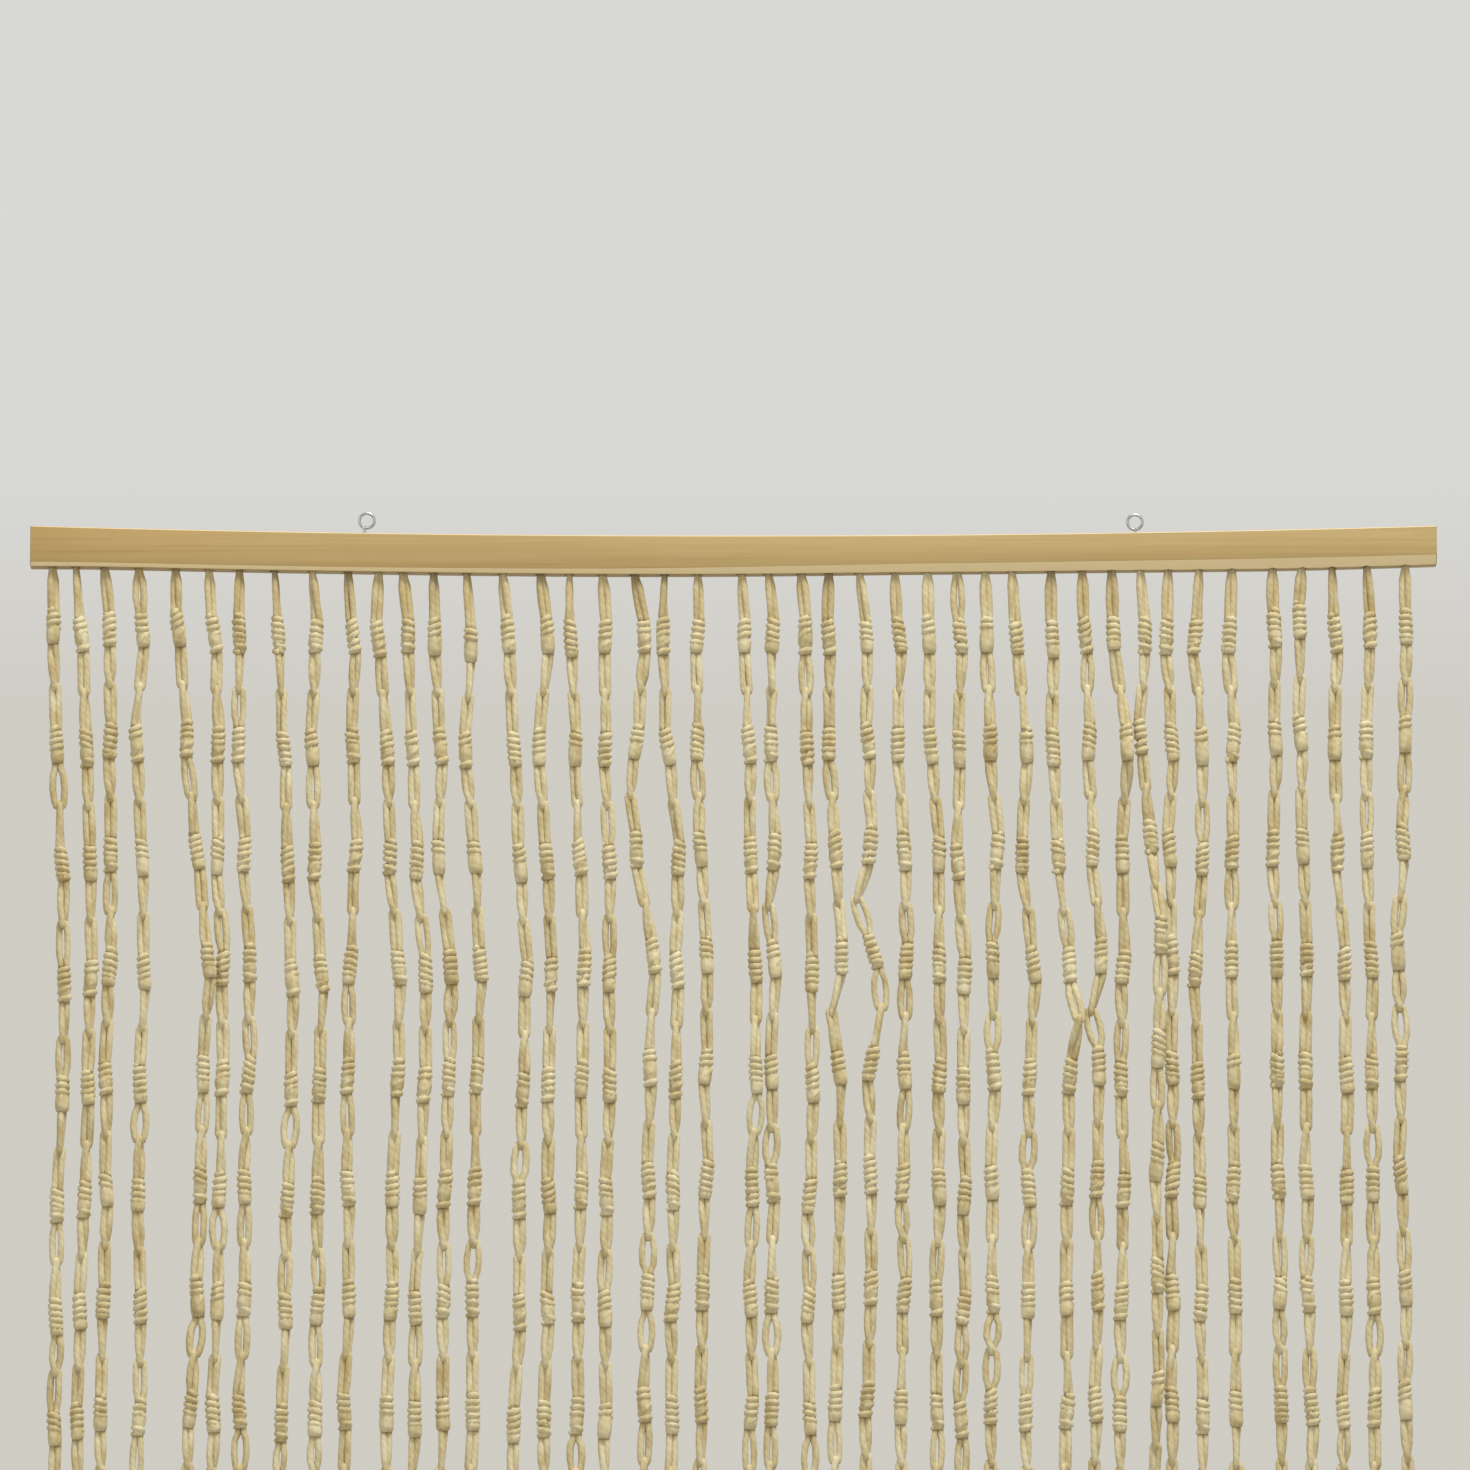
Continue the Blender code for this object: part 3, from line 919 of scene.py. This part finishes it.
def chance_look(chance, upper, lower):
    """What makes a link differ from the next one, between its two given loops."""
    wraps = chance.choice(WRAP_COUNTS)
    bulge = chance.uniform(*KNOT_HEIGHTS) - wraps * WRAP_PITCH
    collar = chance.choice(COLLAR_TURNS)
    return Look(
        wraps=wraps,
        bulge=bulge,
        collar=collar if bulge > COLLAR_NEEDS else 0.0,
        crossing=chance.uniform(*CROSSING_RADII),
        hand=chance.choice((-1, 1)),
        slant=chance.uniform(*WRAP_SLANT),
        slant_side=chance.uniform(0, TURN),
        tilt_x=chance.uniform(*KNOT_TILT),
        tilt_y=chance.uniform(*KNOT_TILT),
        thick=chance.uniform(*THICKNESS),
        upper=upper,
        lower=lower,
    )


def place_knot(top, middle, bottom, look):
    """A knot's middle and ends, and its directions: up the link, to the right and towards the wall."""
    height = look.wraps * WRAP_PITCH + look.bulge
    axis = ((top - bottom).normalized() + Vector((look.tilt_x, look.tilt_y, 0))).normalized()
    right = axis.cross(Vector((0, -1, 0))).normalized()
    return Knot(
        middle=middle,
        top=middle + axis * (height / 2 - 0.8 * MM),
        low=middle - axis * (height / 2 - 0.4 * MM),
        axis=axis,
        right=right,
        back=axis.cross(right).normalized(),
    )


def wrap_station(knot, rise, turn, radius):
    """A point of the cord on the knot: how far above its lower end, how far round it and how far out."""
    out = knot.right * math.cos(turn) + knot.back * math.sin(turn)
    return Station(knot.low + knot.axis * rise + out * radius, WRAP_SWELL)


def collar_top(look):
    return COLLAR_RISE + WRAP_PITCH * look.collar if look.collar else NO_COLLAR_RISE


def collar_stations(knot, look, angle):
    """The cord round the lower end of the knot's smooth half."""
    collar = []
    for step in range(round(look.collar * WRAP_STEPS)):
        turn = angle + look.hand * TURN * step / WRAP_STEPS
        rise = COLLAR_RISE + WRAP_PITCH * step / WRAP_STEPS
        collar.append(wrap_station(knot, rise, turn, WRAP_RADIUS))
    return collar


def crossing_stations(knot, look, angle):
    """The cord up across the knot's smooth half."""
    crossing = []
    start = WRAP_RADIUS if look.collar else CROSSING_START
    for step in range(1, CROSSING_STEPS + 1):
        part = step / CROSSING_STEPS
        turn = angle + look.hand * part * math.pi * CROSSING_REACH
        reach = between(start, look.crossing, math.sin(part * math.pi / 2))
        rise = between(collar_top(look), look.bulge - 1.0 * MM, part)
        crossing.append(wrap_station(knot, rise, turn, reach))
    return crossing


def wrap_stations(knot, look, angle, chance):
    """The cord round the knot's upper half, in slightly loose and slanted wraps, to its tucked-in end."""
    wraps = []
    loosen = [chance.uniform(*WRAP_LOOSENESS) * MM for _ in range(WRAP_DRAWS)]
    lift = [chance.uniform(*WRAP_LIFT) * MM for _ in range(WRAP_DRAWS)]
    start_of_wraps = look.bulge - 1.0 * MM
    for step in range(1, round(look.wraps * WRAP_STEPS) + 1):
        turn = angle + look.hand * TURN * step / WRAP_STEPS
        number, part = divmod(step / WRAP_STEPS, 1.0)
        number = int(number)
        lifted = between(lift[number], lift[number + 1], part)
        rise = start_of_wraps + WRAP_PITCH * step / WRAP_STEPS + lifted
        shoulder = 0.45 * MM * max(0.0, step / WRAP_STEPS - look.wraps + 1.2)
        radius = WRAP_RADIUS + between(loosen[number], loosen[number + 1], part) - shoulder
        rise += look.slant * radius * math.cos(turn - look.slant_side)
        wraps.append(wrap_station(knot, rise, turn, radius))
    end = wraps[-1].place
    middle = knot.middle + knot.axis * (end - knot.middle).dot(knot.axis)
    wraps.append(Station(end + (middle - end) * 0.6 - knot.axis * 0.6 * MM, 0.95))
    return wraps


def heart_stations(knot, look):
    """The outline of the knot's heart: full in its smooth half, slimmer under the collar and the wraps."""
    bulge = BULGE_RADIUS / CORD_RADIUS
    core = HEART_RADIUS / CORD_RADIUS
    # The lowest station, at the knot's lower end, is painted dark as shade under the knot
    if look.collar:
        foot = [
            Station(knot.low - knot.axis * 0.1 * MM, core * 0.7, 1.0),
            Station(knot.low + knot.axis * 0.9 * MM, core),
            Station(knot.low + knot.axis * collar_top(look), core),
            Station(knot.low + knot.axis * (collar_top(look) + 1.6 * MM), bulge * 0.97),
        ]
    else:
        foot = [
            Station(knot.low - knot.axis * 0.1 * MM, bulge * 0.6, 1.0),
            Station(knot.low + knot.axis * 0.8 * MM, bulge * 0.88),
            Station(knot.low + knot.axis * look.bulge * 0.35, bulge),
        ]
    return foot + [
        Station(knot.low + knot.axis * look.bulge * 0.78, bulge),
        Station(knot.low + knot.axis * (look.bulge + 1.5 * MM), core),
        Station(knot.top - knot.axis * 4.0 * MM, core),
        Station(knot.top - knot.axis * 1.0 * MM, core * 0.72),
    ]


def link_routes(top, middle, bottom, look, first, last, chance):
    """The lines of one link's cord and the outline of its knot's heart.

    The cord goes round its upper loop, down through the knot, round its lower loop, across the knot's
    smooth lower half and round its upper half in wraps.
    """
    knot = place_knot(top, middle, bottom, look)
    into_knot = sideways(look.upper.at_knot)
    out_of_knot = sideways(look.lower.at_knot)
    cord = [Station(middle + into_knot * 0.6 * MM, 1.0)]
    cord += loop_route(knot.top, top, look.upper, 0.0, chance, root_stations if first else leg_stations)
    cord += [
        Station(middle - into_knot * 0.6 * MM, 1.0),
        Station(knot.low + knot.axis * 3.0 * MM + out_of_knot * LEGS_AT_KNOT, 1.0),
    ]
    if last:
        first_end, second_end = tails_route(knot.low, chance)
        second_end.insert(0, Station(knot.low + knot.axis * 3 * MM - out_of_knot * LEGS_AT_KNOT, 1.0))
        wraps = [Station(knot.low + knot.axis * 1.5 * MM - out_of_knot * 1.2 * MM, 1.0)]
        cord += first_end
        cords = [cord, second_end, wraps]
    else:
        cord += loop_route(knot.low, bottom, look.lower, BEND_SHADE, chance)
        wraps = cord
        cords = [cord]
    angle = math.atan2(-out_of_knot.y, -out_of_knot.x)
    collar = collar_stations(knot, look, angle)
    angle += look.hand * TURN * len(collar) / WRAP_STEPS
    crossing = crossing_stations(knot, look, angle)
    angle += look.hand * math.pi * CROSSING_REACH
    wraps += collar + crossing + wrap_stations(knot, look, angle, chance)
    return cords, heart_stations(knot, look)


# Strands

def thickened(route, share):
    return [station._replace(swell=station.swell * share) for station in route]


def strand_routes(strand, seen_loops, line, neighbour, chance):
    """All links of one strand, from its hole in the batten to the cut ends: cords, hearts and tones."""
    letters = list(seen_loops) + chance.choices(UNSEEN_LOOPS, k=2 * (LINKS - SEEN_KNOTS))
    root = Vector((strand.root * MM, CORD_LINE, batten_underside(strand.root * MM) + ROOT_HEIGHT))
    middles = [Vector((x, CORD_LINE - forward_step(line, neighbour, z), z)) for x, z in line]
    knots = middles[0::2]
    joins = middles[1::2]
    overlap = Vector((0, 0, JOIN_OVERLAP))
    cords = []
    hearts = []
    cord_tones = []
    heart_tones = []
    upper_facing = 0.0
    for number, knot in enumerate(knots):
        first = number == 0
        last = number == LINKS - 1
        upper_form = letters[2 * number]
        lower_form = letters[2 * number + 1]
        upper = form_loop(upper_form, upper_facing, chance)
        lower_facing = 0.0
        if not last:
            next_form = letters[2 * number + 2]
            lower_facing, upper_facing = facings_at_join(lower_form, next_form, chance)
        look = chance_look(chance, upper, form_loop(lower_form, lower_facing, chance))
        top = root if first else joins[number - 1] + overlap
        bottom = knot + Vector((0, 0, -END_DROP)) if last else joins[number] - overlap
        made, heart = link_routes(top, knot, bottom, look, first, last, chance)
        tone = chance.random()
        for cord in made:
            cords.append(thickened(cord, look.thick))
            cord_tones.append(tone)
        hearts.append(thickened(heart, look.thick))
        heart_tones.append(tone)
    return cords, cord_tones, hearts, heart_tones


def build_strands(finish):
    chance = random.Random(PLACES_SEED)
    lines = []
    for number, strand in enumerate(STRANDS, start=1):
        lines.append(hanging_line(number, knot_places(strand, chance)))
    strands = zip(STRANDS, SEEN_LOOPS, lines, lines[1:] + [None])
    for number, (strand, seen_loops, line, neighbour) in enumerate(strands, start=1):
        name = f"strand_{number:02d}"
        chance = random.Random(STRAND_SEED + number)
        cords, cord_tones, hearts, heart_tones = strand_routes(strand, seen_loops, line, neighbour, chance)
        piece, numbers = cord_from(name, cords, CORD_RADIUS, CORD_ROUNDING)
        measure_cord(piece, numbers, cords, cord_tones)
        knots, numbers = cord_from(name + "_knots", hearts, CORD_RADIUS, HEART_ROUNDING)
        measure_cord(knots, numbers, hearts, heart_tones)
        only(piece)
        knots.select_set(True)
        bpy.ops.object.join()
        close_seams(piece)
        finish_with(piece, finish)
        settle(piece)
        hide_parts("strands_left" if number <= STRANDS_ON_LEFT else "strands_right")
        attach(piece, "root")


# Screw eyes

def eye_routes(name):
    """The bent wire of one eye, from its point in the wood round its ring, and the thread on its shank."""
    ring = Vector((EYE_PLACES[name], CORD_LINE, batten_top(EYE_PLACES[name]) + EYE_RISE[name]))
    shank = ring.x + EYE_SHANK_SHIFT[name]
    foot = batten_top(ring.x) - EYE_SHANK_DEPTH
    neck = ring.z - EYE_RING_RADIUS - 0.9 * MM
    wire = [
        Station(Vector((shank, CORD_LINE, foot)), 0.25),
        Station(Vector((shank, CORD_LINE, foot + 1.5 * MM)), 0.8),
        Station(Vector((shank, CORD_LINE, foot + 4 * MM)), 0.92),
        Station(Vector((shank, CORD_LINE, between(foot, neck, 0.7))), 0.95),
        Station(Vector((shank, CORD_LINE, neck)), 1.0),
    ]
    start = math.degrees(math.asin(EYE_SHANK_SHIFT[name] / EYE_RING_RADIUS)) - EYE_RING_FOOT
    for step in range(EYE_RING_STEPS + 1):
        angle = math.radians(between(start, start - EYE_RING_SWEEP, step / EYE_RING_STEPS))
        out = Vector((math.cos(angle), 0, math.sin(angle)))
        wire.append(Station(ring + out * EYE_RING_RADIUS, 1.0))
    thread = []
    for step in range(round((EYE_SHANK_DEPTH - THREAD_FROM) / THREAD_PITCH * THREAD_STEPS) + 1):
        height = foot + THREAD_FROM + THREAD_PITCH * step / THREAD_STEPS
        out = sideways(TURN * step / THREAD_STEPS)
        middle = Vector((shank, CORD_LINE, height))
        thread.append(Station(middle + out * EYE_WIRE_RADIUS * THREAD_SEAT, THREAD_SHARE))
    return [wire, thread]


def build_eyes(finish):
    for name in EYE_PLACES:
        piece, _ = cord_from("screw_" + name, eye_routes(name), EYE_WIRE_RADIUS, WIRE_ROUNDING)
        close_seams(piece)
        finish_with(piece, finish)
        settle(piece)
        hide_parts(name)
        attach(piece, "root")


# Camera, light and floor

def build_camera(scene):
    camera_data = bpy.data.cameras.new("camera")
    camera = bpy.data.objects.new("camera", camera_data)
    scene.collection.objects.link(camera)
    look = Vector((0, math.cos(CAMERA_RISE), math.sin(CAMERA_RISE)))
    camera.location = FRAME_MIDDLE - look * CAMERA_DISTANCE
    camera.rotation_euler = (math.pi / 2 + CAMERA_RISE, 0, 0)
    camera_data.sensor_width = CAMERA_SENSOR
    camera_data.lens = CAMERA_SENSOR * CAMERA_DISTANCE / (PHOTO_PIXELS * PIXEL)
    camera_data.clip_start = 0.05
    camera_data.clip_end = 100
    scene.camera = camera


def build_surroundings(scene):
    world = bpy.data.worlds.new("studio")
    scene.world = world
    world.use_nodes = True
    tree = world.node_tree
    background = tree.nodes["Background"]
    way = node(tree, "TexCoord").outputs["Generated"]
    height = spread(tree, axes_of(tree, way)["Z"], *SKY_HEIGHTS)
    tree.links.new(ramp(tree, height, SKY), background.inputs["Color"])
    background.inputs["Strength"].default_value = 1.0


def build_lamps():
    for lamp in LAMPS:
        bpy.ops.object.select_all(action="DESELECT")
        bpy.ops.object.light_add(type="AREA", location=lamp.place)
        light = bpy.context.object
        light.name = lamp.name
        light.data.energy = lamp.energy
        light.data.size = lamp.size
        aim = LAMPS_AIM - Vector(lamp.place)
        light.rotation_euler = aim.to_track_quat("-Z", "Y").to_euler()


def build_floor():
    bpy.ops.object.select_all(action="DESELECT")
    bpy.ops.mesh.primitive_plane_add(size=FLOOR_SIZE, location=(0, 0, FLOOR_HEIGHT))
    floor = named("floor")
    floor.data.materials.append(plain_finish("pale_floor", (0.62, 0.62, 0.61), 0.8))


def build_stage():
    scene = bpy.context.scene
    scene.view_settings.view_transform = "Standard"
    build_camera(scene)
    build_surroundings(scene)
    build_lamps()
    build_floor()


build_stage()
build_batten(pine_finish("planed_pine", 0.0), pine_finish("pine_painted_light", PAINTED_LIGHT_SHARE))
build_eyes(zinc_finish())
build_strands(cord_finish())
